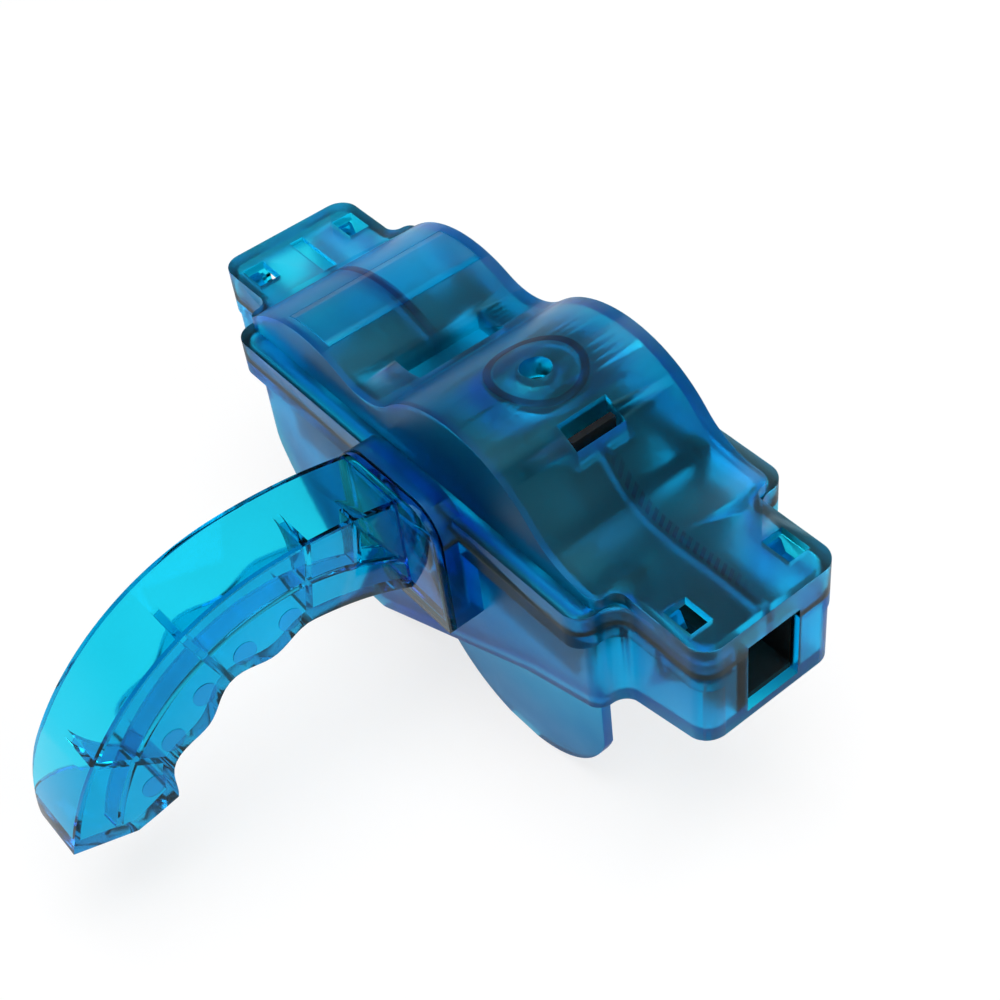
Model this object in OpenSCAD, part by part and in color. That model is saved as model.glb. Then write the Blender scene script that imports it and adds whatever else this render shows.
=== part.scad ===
// Bike chain cleaner: a clear two-part box that closes round a running chain.
// Rotary brushes inside scrub the chain, the tank holds the fluid, and a
// curved handle stands out on one side.
// Origin: on the chain's centreline, at the middle of the box's length.
// +X runs along the chain, -Y towards the handle, +Z up.

/* [Box] */
// Length of the box along the chain
box_len = 136; // [130:1:150]
// Width across the seam flange
flange_w = 47; // [46:0.5:52]
// Flange end from the origin, on the far side
flange_far = 51.5; // [51:0.5:54]
// Flange end from the origin, on the near side
flange_near = 48; // [47:0.5:51]
// Width of the two necks that the chain runs through
neck_w = 30; // [29.5:0.5:32]
// Wall of the cover and the tank
wall = 1.8; // [1.4:0.1:2]
// Radius of the corners in plan
plan_r = 4; // [3:0.5:5]

/* [Cover] */
// Height of the shelf beside the humps
shelf_h = 4.5; // [4:0.25:6]
// Height of the neck's roof
neck_h = 7; // [6.5:0.25:8]
// Width of the humps
hump_w = 39.2; // [38.6:0.2:41]
// Crest height of the main hump
hump_h = 21.5; // [21.3:0.1:24]
// Radius of the main hump
hump_r = 26; // [25:0.5:28]
// Place of the main hump along the chain
hump_x = 13; // [12:0.5:14]
// Crest height of the small hump
rise_h = 14; // [13.8:0.1:15]
// Radius of the small hump
rise_r = 28; // [26:0.5:30]
// Place of the small hump along the chain
rise_x = -31.5; // [-33:0.5:-30]
// Radius of the valley between the humps
valley_r = 14; // [12:0.5:16]
// Radius where the main hump runs into the neck
foot_r = 16; // [13:0.5:18]
// Thickness of the rib under the roof
rib_t = 1.8; // [1:0.1:2]
// Height of the rib under the roof
rib_h = 2; // [1:0.1:2.1]

/* [Pocket and slots] */
// Middle of the pocket along the chain
pocket_x = -13.5; // [-14:0.1:-13]
// Length of the pocket along the chain
pocket_l = 8; // [7.5:0.1:8.4]
// Width of the pocket
pocket_w = 19; // [17:0.5:21]
// Height of the pocket's floor
pocket_h = 6.2; // [5.9:0.1:6.6]
// Middle of the latch slot along the chain
slot_x = 25.8; // [25.5:0.1:26]
// Length of the latch slot along the chain
slot_l = 4.8; // [4:0.1:5.2]
// Width of the latch slot
slot_w = 10.6; // [10.2:0.1:11.4]
// Depth of the latch slot's chimney under the roof
slot_d = 3; // [1:0.1:3.4]
// Middle of the corner holes from the origin, along the chain
hole_x = 59.8; // [59:0.1:61]
// Length of a corner hole
hole_l = 6.2; // [5:0.1:7]
// Middle of the corner holes from the centre line
hole_y = 10.7; // [10.5:0.1:10.8]
// Width of a corner hole
hole_w = 4.6; // [4:0.1:4.8]
// Length of the bare label field
label_l = 12.6; // [10:0.5:14]
// Width of the bare label field
label_w = 35; // [30:0.5:36]
// Depth of the bare label field
label_d = 0.15; // [0.1:0.05:0.5]
// Width of the groove in the far neck's roof
groove_w = 3; // [2:0.1:4]
// Length of the groove in the far neck's roof
groove_l = 12; // [8:0.5:13]
// Depth of the groove in the far neck's roof
groove_d = 0.9; // [0.4:0.1:1]

/* [Fill hole] */
// Place of the fill hole along the chain
fill_x = 12; // [11:0.1:13]
// Diameter of the fill hole
fill_d = 5.7; // [5:0.1:6]
// Outer diameter of the fill hole's collar
fill_collar_d = 7.4; // [7:0.1:8.4]
// Height of the collar under the roof
fill_collar_h = 3; // [2:0.1:4]
// Outer diameter of the ring under the roof
ring_d = 18.4; // [17:0.1:20]
// Width of the ring under the roof
ring_t = 1.8; // [1.2:0.1:2.2]
// Height of the ring under the roof
ring_h = 0.6; // [0.3:0.1:0.7]

/* [Tank] */
// Width of the tank below the seam flange
tank_w = 41; // [40.6:0.1:42]
// Width of the tank's necks
tank_neck_w = 29.2; // [29:0.1:29.4]
// Depth of the necks below the seam
neck_d = 15.8; // [15.6:0.1:16.2]
// Depth of the tank's lowest line below the seam
tank_d = 50.5; // [50:0.5:54]
// Depth cut off the round undersides for the flats that the box stands on
foot_flat = 0.3; // [0.2:0.1:0.6]
// Place of the tank's lowest line along the chain
sump_x = -22.5; // [-24:0.5:-21]
// Radius of the tank's lowest corner
sump_r = 8; // [6:0.5:9]
// Radius of the tank's bowed far end
bow_r = 50; // [49:0.5:52]
// Direction from the lowest corner to the bow's middle
bow_a = 61; // [60.5:0.1:61.5]
// Slope of the tank's floor
slope_a = 26; // [25:0.5:27]
// Place where the floor runs into the near neck
break_x = 45; // [44:0.5:46]
// Depth of the floor where it runs into the near neck
break_d = 21.1; // [20.5:0.1:21.5]
// Radius of the round cheeks that the box stands on
fin_r = 25.4; // [25:0.1:25.8]
// Place of the round cheeks along the chain
fin_x = 22; // [21.5:0.1:22.4]
// Thickness of the round cheeks
fin_t = 2; // [1.6:0.1:2.6]
// Upright end of the cheeks along the chain
fin_end = 46; // [45:0.1:47]
// Step from the tank's side to the cheek
fin_step = 2; // [1.6:0.1:2.4]
// Height of the seam flange on the tank
lip_h = 3; // [2.5:0.1:4]
// Thickness of the seam flange's floor
lip_t = 1.5; // [1:0.1:2]
// Height of the tongue that centres the cover
tongue_h = 2; // [1:0.1:2.4]
// Thickness of the tongue
tongue_t = 1.2; // [0.8:0.1:1.2]
// Length of a snap hook along the chain
hook_l = 3; // [2.4:0.1:3]
// Width of a snap hook
hook_w = 3.4; // [2.6:0.1:3.6]
// Height of a snap hook above the seam
hook_h = 4.4; // [3:0.1:4.8]
// Depth of a snap hook's root below the seam
hook_d = 9; // [6:0.5:12]

/* [Chain window] */
// Width of the chain window
win_w = 11.4; // [10.8:0.1:11.6]
// Height of the window above the seam
win_top = 2; // [1:0.1:3]
// Wall of the throat behind the window
throat_t = 1.5; // [1:0.1:1.8]
// Floor of the throat behind the window
throat_floor = 1.2; // [0.8:0.1:1.8]
// Inner end of the near throat from the origin
throat_near = 41; // [40.5:0.1:42]
// Inner end of the far throat from the origin
throat_far = 45; // [44:0.1:46]
// Top of the throat below the seam
throat_top = 0.8; // [0.5:0.1:2]

/* [Handle collar] */
// Middle of the collar along the chain
collar_x = 3; // [2:0.5:4]
// Width of the collar
collar_w = 28; // [26:0.5:30]
// Height of the collar above the seam
collar_top = 8; // [7.5:0.1:8.4]
// Depth of the collar below the seam
collar_bottom = 20.3; // [19.8:0.1:21]
// Front face of the collar from the centre line
collar_y = 26.6; // [26.4:0.1:28]
// Radius of the collar's upper corners
collar_r = 7; // [5:0.5:7]
// Depth of the socket in the collar's tank half
socket_d = 4.2; // [3.5:0.1:4.3]
// Depth of the socket in the collar's cover half
socket_top_d = 2.2; // [1.6:0.1:2.3]

/* [Handle] */
// Outer face of the handle's web along the chain
web_x = 7; // [6:0.5:8]
// Width of the handle along the chain
handle_w = 16; // [14:0.5:18]
// Wall of the handle
handle_t = 1.8; // [1.4:0.1:2.2]
// Middle of the handle's bend from the centre line
bend_y = 54; // [53:0.5:58]
// Middle of the handle's bend below the seam
bend_z = 40; // [39:0.5:41]
// Outer radius of the handle's bend
bend_r = 49; // [48:0.5:50]
// Inner radius of the handle's bend
grip_r = 30.6; // [29:0.2:32]
// Height of the finger waves
wave_h = 1.4; // [0.6:0.1:2]
// Angle from one finger wave to the next
wave_a = 31; // [30:0.5:32]
// Radius of the open corner at the handle's tip
tip_r = 5.5; // [3:0.5:7]
// Thickness of the handle's flange
flange_t = 1.6; // [1.2:0.1:2.4]
// Thickness of the handle's cross ribs
cross_t = 1.4; // [1:0.1:2]
// Depth of the cross ribs at the outer band
cross_d = 12.4; // [10:0.2:13]
// Height of the rib along the handle
spine_h = 3; // [2:0.1:4]
// Start of the window in the handle's web, as an angle on the bend
web_hole_a = 53.5; // [53:0.5:55]
// Thickness of the window's frame, as a share of the window's size
hole_frame_share = 0.35; // [0.25:0.05:0.45]
// End of the window in the handle's web, as an angle on the bend
web_hole_end = 68; // [64:0.5:70]

/* [Brushes] */
// Height of the seam above the chain's centreline
seam_h = 6.4; // [6:0.1:6.8]
// Height left free for the chain between the brushes
lane_h = 5.2; // [4.8:0.1:6]
// Width left free for the chain between the side bristles
lane_w = 13; // [12.8:0.1:13.6]
// Outer face of the bristles from the centre line
bristle_y = 14.4; // [13.5:0.1:14.6]
// Outer face of the main upper brush's bristles from the centre line
upper_y = 11.6; // [10.5:0.1:14.4]
// Outer face of the small upper brush's bristles from the centre line
small_y = 8; // [6:0.1:14.4]
// Radius of the main upper brush at its sides
upper_r = 16.8; // [15.5:0.1:16.9]
// Place of the main upper brush along the chain
upper_x = 15; // [14.5:0.1:15.1]
// Height of the main upper brush's axle
upper_z = 1.6; // [1.4:0.1:1.7]
// Place of the small upper brush along the chain
small_x = -29.5; // [-31:0.1:-29]
// Height of the small upper brush's axle
small_z = 3; // [2.6:0.1:3.1]
// Radius of the main lower brush at its sides
lower_r = 17; // [16:0.1:17.4]
// Place of the main lower brush along the chain
lower_x = -24; // [-25:0.1:-23.5]
// Depth of the main lower brush's axle
lower_d = 22; // [21.5:0.1:22.5]
// Place of the exit brush along the chain
exit_x = 31.8; // [31.6:0.1:32.4]
// Depth of the exit brush's axle
exit_d = 15.4; // [15:0.1:15.6]
// Radius of a brush's stub axle
stub_r = 2; // [1.5:0.1:2.2]
// Running clearance round a stub axle
run_gap = 0.05; // [0.02:0.01:0.1]
// Radius of the large hubs
hub_r = 3.6; // [3:0.1:3.8]
// Radius of the small hubs
roll_r = 3; // [2.8:0.1:3.1]
// Thickness of the sleeve that the bristles stand in
sleeve_t = 0.9; // [0.6:0.1:1.2]
// Radius of one bristle tuft
tuft_r = 0.5; // [0.3:0.05:0.6]

/* [Brush frames] */
// Inner face of the brush frames' cheeks from the centre line
cheek_y = 15.4; // [15:0.1:15.6]
// Thickness of the cheeks
cheek_t = 1.6; // [1.2:0.1:1.8]
// Thickness of the bars that join the cheeks
bar_t = 2.2; // [1.8:0.1:2.4]
// Thickness of a snap tab
tab_t = 1.4; // [1:0.1:1.6]
// Thickness of the deck under the main upper brush
deck_t = 1.5; // [1:0.1:2]
// Top of the deck below the seam
deck_d = 16; // [15.8:0.1:17]
// Length of a side brush along the chain
side_l = 7; // [5:0.2:7.2]
// Height of a side brush
side_h = 7; // [5:0.2:7.2]
// Thickness of a side brush's block
side_t = 2.6; // [2:0.1:3.2]

/* [Hidden] */
$fn = 64;

// Overrun of every cut, and the gap between pieces that come apart
cut = 1;
gap = 0.3;
// Number of sides of a tuft
tuft_sides = 4;
// Tufts round each ring, and the rows of tufts in it
upper_side_tufts = 20;
upper_side_rows = 3;
upper_centre_tufts = 12;
upper_centre_rows = 3;
small_tufts = 9;
small_rows = 4;
lower_side_tufts = 22;
lower_side_rows = 2;
lower_centre_tufts = 16;
lower_centre_rows = 2;
exit_tufts = 9;
exit_rows = 6;
side_cols = 5;
side_rows = 4;

// Middles of the arcs in the cover's side view
half_len = box_len / 2;
hump_c = [hump_x, hump_h - hump_r];
rise_c = [rise_x, rise_h - rise_r];
foot_c = [
    hump_x + sqrt(pow(hump_r + foot_r, 2) - pow(neck_h + foot_r - hump_c[1], 2)),
    neck_h + foot_r,
];
hump_run = hump_c - rise_c;
hump_gap = norm(hump_run);
valley_u = hump_run / hump_gap;
valley_far = rise_r + valley_r;
valley_near = hump_r + valley_r;
valley_s = (pow(valley_far, 2) - pow(valley_near, 2) + pow(hump_gap, 2)) / (2 * hump_gap);
valley_h = sqrt(pow(valley_far, 2) - pow(valley_s, 2));
valley_c = rise_c + valley_u * valley_s + [-valley_u[1], valley_u[0]] * valley_h;

// Middles of the arcs in the tank's side view
sump_c = [sump_x, sump_r - tank_d - foot_flat];
bow_c = sump_c + (bow_r - sump_r) * [cos(bow_a), sin(bow_a)];

// Chain lane between the brushes
lane_top = lane_h / 2 - seam_h;
lane_bottom = -lane_h / 2 - seam_h;
upper_centre_r = upper_z - lane_top;
small_r = small_z - lane_top;
lower_centre_r = lane_bottom + lower_d;
exit_r = lane_bottom + exit_d;

// Bars of the upper frame, clear of the main upper brush
bar_far = [upper_x - upper_r - bar_t * 0.8, upper_z + bar_t / 2];
bar_near = [upper_x + upper_r + bar_t * 0.7, upper_z + bar_t * 1.6];

// Slit in the pocket's floor, at the pocket's near side
slit_x = pocket_x + pocket_l / 2 - gap - tab_t / 2;
slit_w = pocket_w / 2 - 2 * gap;

// Handle
polar_c = [-bend_y, -bend_z];
web_in = web_x - handle_t;
handle_far = web_x - handle_w;
handle_root = collar_y + flange_t;
wave_start = 80;
end_a = 163;
root_rise_share = 0.07;
root_dip_share = 0.105;

// Extrudes a side view along Y, from y0 to y1.
module along_y(y0, y1) {
    translate([0, y1, 0]) rotate([90, 0, 0]) linear_extrude(y1 - y0) children();
}

// Extrudes a view along the chain, from x0 to x1.
module along_x(x0, x1) {
    translate([x0, 0, 0]) rotate([90, 0, 90]) linear_extrude(x1 - x0) children();
}

// Block from one corner to the other.
module block(low, high) {
    translate(low) cube(high - low);
}

// Places what is drawn from the seam plane.
module at_seam() {
    translate([0, 0, seam_h]) children();
}

// Repeats its children on both sides of the centre line.
module both_sides() {
    children();
    mirror([0, 1, 0]) children();
}

// Rectangle with round corners, w wide about the centre line.
module plate2d(x0, x1, w, r) {
    translate([x0 + r, -w / 2]) square([x1 - x0 - 2 * r, w]);
    translate([x0, r - w / 2]) square([x1 - x0, w - 2 * r]);
    for (x = [x0 + r, x1 - r], y = [r - w / 2, w / 2 - r]) {
        translate([x, y]) circle(r);
    }
}

// Hollow corners of radius r where a neck w wide meets the middle, drawn in by t.
module steps2d(w, r, t) {
    for (end = [[1, flange_near], [-1, flange_far]], sy = [-1, 1]) {
        x0 = end[0] * (end[1] - t - r);
        x1 = end[0] * (end[1] + r);
        difference() {
            polygon([
                [x0, sy * (w / 2 - t - r)],
                [x1, sy * (w / 2 - t - r)],
                [x1, sy * (w / 2 + r)],
                [x0, sy * (w / 2 + r)],
            ]);
            translate([x1, sy * (w / 2 + r)]) circle(r + t);
        }
    }
}

// Plan of the box with a middle mid_w wide and necks n_w wide, drawn in by t.
module plan2d(mid_w, n_w, t) {
    r = min(plan_r, (mid_w - n_w) / 4);
    plate2d(t - half_len, half_len - t, n_w - 2 * t, max(plan_r - t, t / 4));
    plate2d(t - flange_far, flange_near - t, mid_w - 2 * t, max(r - t, t / 4));
    steps2d(n_w, r, t);
}

// Side view of the cover, drawn in by t and reaching down to -low.
module cover2d(t, low) {
    intersection() {
        translate([t - half_len, -low]) square([box_len - 2 * t, hump_h + low]);
        difference() {
            union() {
                translate([-half_len, -low]) square([box_len, neck_h - t + low]);
                translate(rise_c) circle(rise_r - t);
                translate(hump_c) circle(hump_r - t);
                polygon([rise_c, valley_c, hump_c]);
                polygon([hump_c, foot_c, [foot_c[0], 0], [hump_c[0], 0]]);
            }
            translate(valley_c) circle(valley_r + t);
            translate(foot_c) circle(foot_r + t);
        }
    }
}

// Solid form of the cover, drawn in by t and reaching down to -low.
module cover_form(t, low) {
    intersection() {
        along_y(-flange_w / 2, flange_w / 2) cover2d(t, low);
        translate([0, 0, -low]) linear_extrude(hump_h + low) plan2d(hump_w, neck_w, t);
    }
    translate([0, 0, -low]) linear_extrude(shelf_h - t + low) plan2d(flange_w, neck_w, t);
}

// Front view of the collar, drawn in by t.
module collar2d(t) {
    w = collar_w - 2 * t;
    r = collar_r - t;
    high = collar_top - t;
    low = t - collar_bottom;
    translate([collar_x - w / 2, low]) square([w, high - low - r]);
    translate([collar_x + r - w / 2, low]) square([w - 2 * r, high - low]);
    for (s = [-1, 1]) {
        translate([collar_x + s * (w / 2 - r), high - r]) circle(r);
    }
}

// One half of the collar: the part above the seam, or below it.
module collar_half(upper) {
    back = upper ? flange_w / 2 - wall : tank_w / 2 - wall;
    z0 = upper ? 0 : -collar_bottom;
    z1 = upper ? collar_top : 0;
    intersection() {
        along_y(-collar_y, -back) collar2d(0);
        block([-half_len, -collar_y, z0], [half_len, -back, z1]);
    }
}

// Socket that the handle's plug goes into.
module socket() {
    intersection() {
        along_y(-collar_y - cut, socket_d - collar_y) collar2d(wall);
        union() {
            block([-half_len, -collar_y - cut, -tank_d], [half_len, socket_d - collar_y, 0]);
            block(
                [-half_len, -collar_y - cut, -cut],
                [half_len, socket_top_d - collar_y, collar_top]
            );
        }
    }
}

// Pocket between the humps, grown by t on its sides and floor.
module pocket_box(t) {
    block(
        [pocket_x - pocket_l / 2 - t, -pocket_w / 2 - t, pocket_h - t],
        [pocket_x + pocket_l / 2 + t, pocket_w / 2 + t, hump_h]
    );
}

// Latch slot and its chimney, grown by t on its sides.
module slot_box(t, low) {
    block(
        [slot_x - slot_l / 2 - t, -slot_w / 2 - t, low],
        [slot_x + slot_l / 2 + t, slot_w / 2 + t, hump_h + cut]
    );
}

function hump_z(x, t) = hump_c[1] + sqrt(pow(hump_r - t, 2) - pow(x - hump_c[0], 2));

// Chain window through one end wall; side is 1 near and -1 far.
module window(side) {
    x0 = side > 0 ? half_len - wall - cut : -half_len - cut;
    block(
        [x0, -win_w / 2, wall - neck_d],
        [x0 + wall + 2 * cut, win_w / 2, win_top]
    );
}

// Plan of the bare label field's thin border line.
module label2d() {
    difference() {
        square([label_l, label_w], center = true);
        square([label_l - 2 * label_d, label_w - 2 * label_d], center = true);
    }
}

// Everything that hangs under the cover's roof.
module roof_details() {
    pocket_box(wall);
    slot_box(wall / 2, hump_z(slot_x, wall) - slot_d);
    translate([fill_x, 0, hump_h - wall - fill_collar_h]) cylinder(d = fill_collar_d, h = hump_h);
    intersection() {
        difference() {
            translate([fill_x, 0, 0]) cylinder(d = ring_d, h = hump_h);
            translate([fill_x, 0, -cut]) cylinder(d = ring_d - 2 * ring_t, h = hump_h + 2 * cut);
        }
        difference() {
            along_y(-ring_d, ring_d) cover2d(0, 0);
            along_y(-ring_d - cut, ring_d + cut) cover2d(wall + ring_h, cut);
        }
    }
    for (run = [[-flange_far, pocket_x - pocket_l / 2], [slot_x + slot_l / 2, half_len]]) {
        intersection() {
            difference() {
                along_y(-rib_t / 2, rib_t / 2) cover2d(0, 0);
                along_y(-rib_t, rib_t) cover2d(wall + rib_h, cut);
            }
            block([run[0], -rib_t, 0], [run[1], rib_t, hump_h]);
        }
    }
}

module cover() {
    color("deepskyblue", 0.5) at_seam() difference() {
        union() {
            difference() {
                cover_form(0, 0);
                cover_form(wall, cut);
            }
            intersection() {
                cover_form(0, 0);
                roof_details();
            }
            collar_half(true);
        }
        pocket_box(0);
        slot_box(0, 0);
        translate([fill_x, 0, 0]) cylinder(d = fill_d, h = hump_h + cut);
        for (x = [-hole_x, hole_x], y = [-hole_y, hole_y]) {
            block(
                [x - hole_l / 2, y - hole_w / 2, 0],
                [x + hole_l / 2, y + hole_w / 2, neck_h + cut]
            );
        }
        window(1);
        window(-1);
        socket();
        // Slit in the pocket's floor for the bridge's tab
        block(
            [slit_x - tab_t / 2 - gap, gap, 0],
            [slit_x + tab_t / 2 + gap, slit_w + gap, hump_h]
        );
        // Border line of the bare label field
        difference() {
            translate([rise_x - label_d * 4, 0, 0]) linear_extrude(hump_h) label2d();
            along_y(-label_w, label_w) cover2d(label_d, cut);
        }
        // Groove in the far neck's roof
        block(
            [-flange_far - groove_l, -groove_w / 2, neck_h - groove_d],
            [-flange_far, groove_w / 2, neck_h + cut]
        );
    }
}

// Depth of the tank's sloping floor at x.
function floor_z(x, t) = sump_c[1] + (t - sump_r) / cos(slope_a) + (x - sump_c[0]) * tan(slope_a);

// Side view of the tank, drawn in by t and reaching up to high.
module tank2d(t, high) {
    r = sump_r - t;
    bend_x = break_x - tank_d / 3;
    intersection() {
        translate(bow_c) circle(bow_r - t);
        polygon([
            [break_x, high],
            sump_c,
            sump_c - bow_r * [cos(bow_a), sin(bow_a)],
            [-box_len, -2 * tank_d],
            [-box_len, high],
        ]);
    }
    translate(sump_c) circle(r);
    polygon([
        [sump_x, high],
        sump_c,
        sump_c + r * [sin(slope_a), -cos(slope_a)],
        [bend_x, floor_z(bend_x, t)],
        [break_x, t - break_d],
        [half_len - t, t - neck_d],
        [half_len - t, high],
    ]);
    translate([t - half_len, t - neck_d]) square([half_len, neck_d - t + high]);
}

// Inside of the tank.
module tank_space(t, high) {
    intersection() {
        along_y(-flange_w, flange_w) tank2d(t, high);
        translate([0, 0, t - tank_d]) linear_extrude(tank_d - t + high) plan2d(tank_w, tank_neck_w, t);
    }
}

// Tongue round the tank's rim that centres the cover, on a ledge of its own.
module tongue() {
    inner = wall + gap + tongue_t;
    difference() {
        union() {
            translate([0, 0, -lip_h]) linear_extrude(lip_t) plan2d(flange_w, neck_w, wall / 2);
            translate([0, 0, -lip_h]) {
                linear_extrude(lip_h + tongue_h) plan2d(flange_w, neck_w, wall + gap);
            }
        }
        translate([0, 0, -lip_h - cut]) {
            linear_extrude(lip_h + tongue_h + 2 * cut) plan2d(flange_w, neck_w, inner);
        }
        for (side = [-1, 1]) scale([side, 1, 1]) block(
            [half_len - inner - cut, -win_w / 2 - throat_t - gap, -lip_h - cut],
            [half_len - wall, win_w / 2 + throat_t + gap, tongue_h + cut]
        );
        window(1);
        window(-1);
    }
}

// Snap hook in a neck, seen through the far end of the cover's hole at x.
module hook(x) {
    x0 = x - hole_l / 2 - hook_l / 2;
    y1 = tank_neck_w / 2 - wall;
    along_y(y1 - hook_w, y1) polygon([
        [x0, -hook_d],
        [x0 + hook_l / 2, -hook_d],
        [x0 + hook_l / 2, hook_h - hook_l],
        [x0 + hook_l, hook_h - hook_l],
        [x0 + hook_l / 2, hook_h],
        [x0, hook_h],
    ]);
    block([x0, y1 - hook_w, -hook_d], [x0 + hook_l / 2, y1 + wall / 2, -lip_h]);
}

module tank() {
    color("deepskyblue", 0.5) at_seam() {
        difference() {
            union() {
                tank_space(0, 0);
                translate([0, 0, -lip_h]) linear_extrude(lip_h) plan2d(flange_w, neck_w, 0);
                both_sides() along_y(fin_step - tank_w / 2, fin_step + fin_t - tank_w / 2) {
                    intersection() {
                        translate([fin_x, fin_r - tank_d - foot_flat]) circle(fin_r);
                        translate([-half_len, -tank_d]) square([half_len + fin_end, tank_d]);
                    }
                }
                collar_half(false);
            }
            tank_space(wall, cut);
            translate([0, 0, lip_t - lip_h]) linear_extrude(lip_h) plan2d(flange_w, neck_w, wall);
            window(1);
            window(-1);
            socket();
        }
        tongue();
        both_sides() for (x = [-hole_x, hole_x]) hook(x);
    }
}

// Point at radius r and angle a about the middle of the handle's bend.
function on_bend(r, a) = polar_c + r * [cos(a), sin(a)];
function outer_r(a) = bend_r * (1 + root_rise_share * pow(max(0, 90 - a) / 30, 2));
function inner_r(a) = a > wave_start
    ? grip_r + wave_h * cos((a - wave_start) * 360 / wave_a)
    : grip_r + wave_h + grip_r * root_dip_share * pow((wave_start - a) / 37, 2);
function turn(t, r) = t / r * 180 / PI;

// Outline of the handle's web, drawn in by t.
module handle2d(t) {
    intersection() {
        polygon(concat(
            [for (a = [50:2:158]) on_bend(outer_r(a) - t, a)],
            [
                on_bend(bend_r - t, end_a - turn(t, bend_r)),
                on_bend(grip_r * 1.2, end_a + 1.5 - turn(t, grip_r * 1.2)),
                on_bend(grip_r * 1.08 + t / 2, end_a - 1.5 - turn(t, grip_r)),
            ],
            [for (a = [157 - turn(t, grip_r):-2.5:38]) on_bend(inner_r(a) + t, a)]
        ));
        translate([-2 * bend_y - bend_r, -bend_z - bend_r]) {
            square([2 * bend_y + bend_r - handle_root, 2 * bend_z + 2 * bend_r]);
        }
    }
}

// Three-cornered window in the handle's web, beside the flange, larger by a share of its size.
module web_hole2d(more_share) {
    low = (bend_r + grip_r + handle_t) / 2;
    corners = [
        on_bend(outer_r(web_hole_end) - 1.6 * handle_t, web_hole_end),
        on_bend(low, web_hole_end - turn(handle_t, low)),
        on_bend(low, web_hole_a),
    ];
    mid = (corners[0] + corners[1] + corners[2]) / 3;
    polygon([for (c = corners) mid + (c - mid) * (1 + more_share)]);
}

// Cross rib of the handle at angle a, its free edge hollowed by a round arch.
module cross_rib(a) {
    r0 = inner_r(a) + handle_t / 2;
    r1 = outer_r(a) - handle_t / 2;
    mid = (r0 + r1) / 2;
    translate([0, polar_c[0], polar_c[1]]) rotate([a, 0, 0]) difference() {
        block([web_x - cross_d, r0, -cross_t / 2], [web_in + handle_t / 2, r1, cross_t / 2]);
        translate([web_x - cross_d, mid, -cross_t]) cylinder(r = (r1 - r0) * 0.46, h = 2 * cross_t);
    }
}

// Corner taken off the band at the handle's tip.
module tip_corner() {
    c = [handle_far + tip_r, on_bend(bend_r, end_a)[0] + tip_r];
    difference() {
        block([c[0] - tip_r - cut, c[1] - tip_r - cut, -bend_z], [c[0], c[1], 0]);
        translate([c[0], c[1], -bend_z - cut]) cylinder(r = tip_r, h = bend_z + 2 * cut);
    }
}

module handle() {
    color("deepskyblue", 0.6) at_seam() {
        along_x(web_in, web_x) difference() {
            handle2d(0);
            web_hole2d(0);
        }
        // Frame of the window, on the web's inner face
        along_x(web_in - spine_h, web_x - handle_t / 2) intersection() {
            handle2d(handle_t / 2);
            difference() {
                web_hole2d(hole_frame_share);
                web_hole2d(0);
            }
        }
        difference() {
            along_x(handle_far, web_x) difference() {
                handle2d(0);
                handle2d(handle_t);
            }
            tip_corner();
        }
        for (i = [0:2]) cross_rib(wave_start + i * wave_a);
        // Rib along the web's inner face
        along_x(web_in - spine_h, web_x - handle_t / 2) intersection() {
            handle2d(handle_t / 2);
            difference() {
                translate(polar_c) circle((bend_r + grip_r + cross_t) / 2);
                translate(polar_c) circle((bend_r + grip_r - cross_t) / 2);
            }
        }
        // Flange on the collar's face, and the plug in the collar's socket
        along_y(-handle_root, -collar_y) collar2d(0);
        intersection() {
            along_y(-collar_y - flange_t / 2, socket_d - gap - collar_y) collar2d(wall + gap);
            union() {
                block(
                    [-half_len, -handle_root, -tank_d],
                    [half_len, socket_d - gap - collar_y, -gap]
                );
                block(
                    [-half_len, -handle_root, -cut],
                    [half_len, socket_top_d - gap - collar_y, collar_top]
                );
            }
        }
    }
}

// Side view of an upper cheek.
module upper_cheek2d() {
    difference() {
        union() {
            translate([small_x - hub_r * 1.4, stub_r / 4]) {
                square([bar_near[0] + bar_t - small_x + hub_r * 1.4, 3 * stub_r]);
            }
            translate([upper_x, upper_z]) circle(hub_r * 1.4);
            translate([small_x, small_z]) circle(hub_r * 1.2);
            translate([bar_near[0] - bar_t, stub_r / 4]) square([2 * bar_t, bar_near[1] + bar_t]);
        }
        translate([upper_x, upper_z]) circle(stub_r + run_gap);
        translate([small_x, small_z]) circle(stub_r + run_gap);
    }
}

// Side view of a lower cheek.
module lower_cheek2d() {
    side_x = throat_near - throat_t - side_l;
    low = -lower_d + hub_r * 0.6;
    difference() {
        union() {
            translate([throat_t - throat_far, low]) {
                square([throat_far + throat_near - 2 * throat_t, -deck_d + deck_t / 2 - low]);
            }
            for (x = [side_x, throat_t - throat_far]) {
                translate([x, low]) square([side_l, -throat_top - low]);
            }
            translate([lower_x, -lower_d]) circle(hub_r * 1.3);
            translate([exit_x, -exit_d]) circle(hub_r * 1.2);
        }
        translate([lower_x, -lower_d]) circle(stub_r + run_gap);
        translate([exit_x, -exit_d]) circle(stub_r + run_gap);
    }
}

module upper_left_cheek() {
    color([0.1, 0.11, 0.12]) at_seam() along_y(-cheek_y - cheek_t, -cheek_y) upper_cheek2d();
}

module upper_right_cheek() {
    color([0.1, 0.11, 0.12]) at_seam() along_y(cheek_y, cheek_y + cheek_t) upper_cheek2d();
}

module lower_left_cheek() {
    color([0.1, 0.11, 0.12]) at_seam() along_y(-cheek_y - cheek_t, -cheek_y) lower_cheek2d();
}

module lower_right_cheek() {
    color([0.1, 0.11, 0.12]) at_seam() along_y(cheek_y, cheek_y + cheek_t) lower_cheek2d();
}

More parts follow.
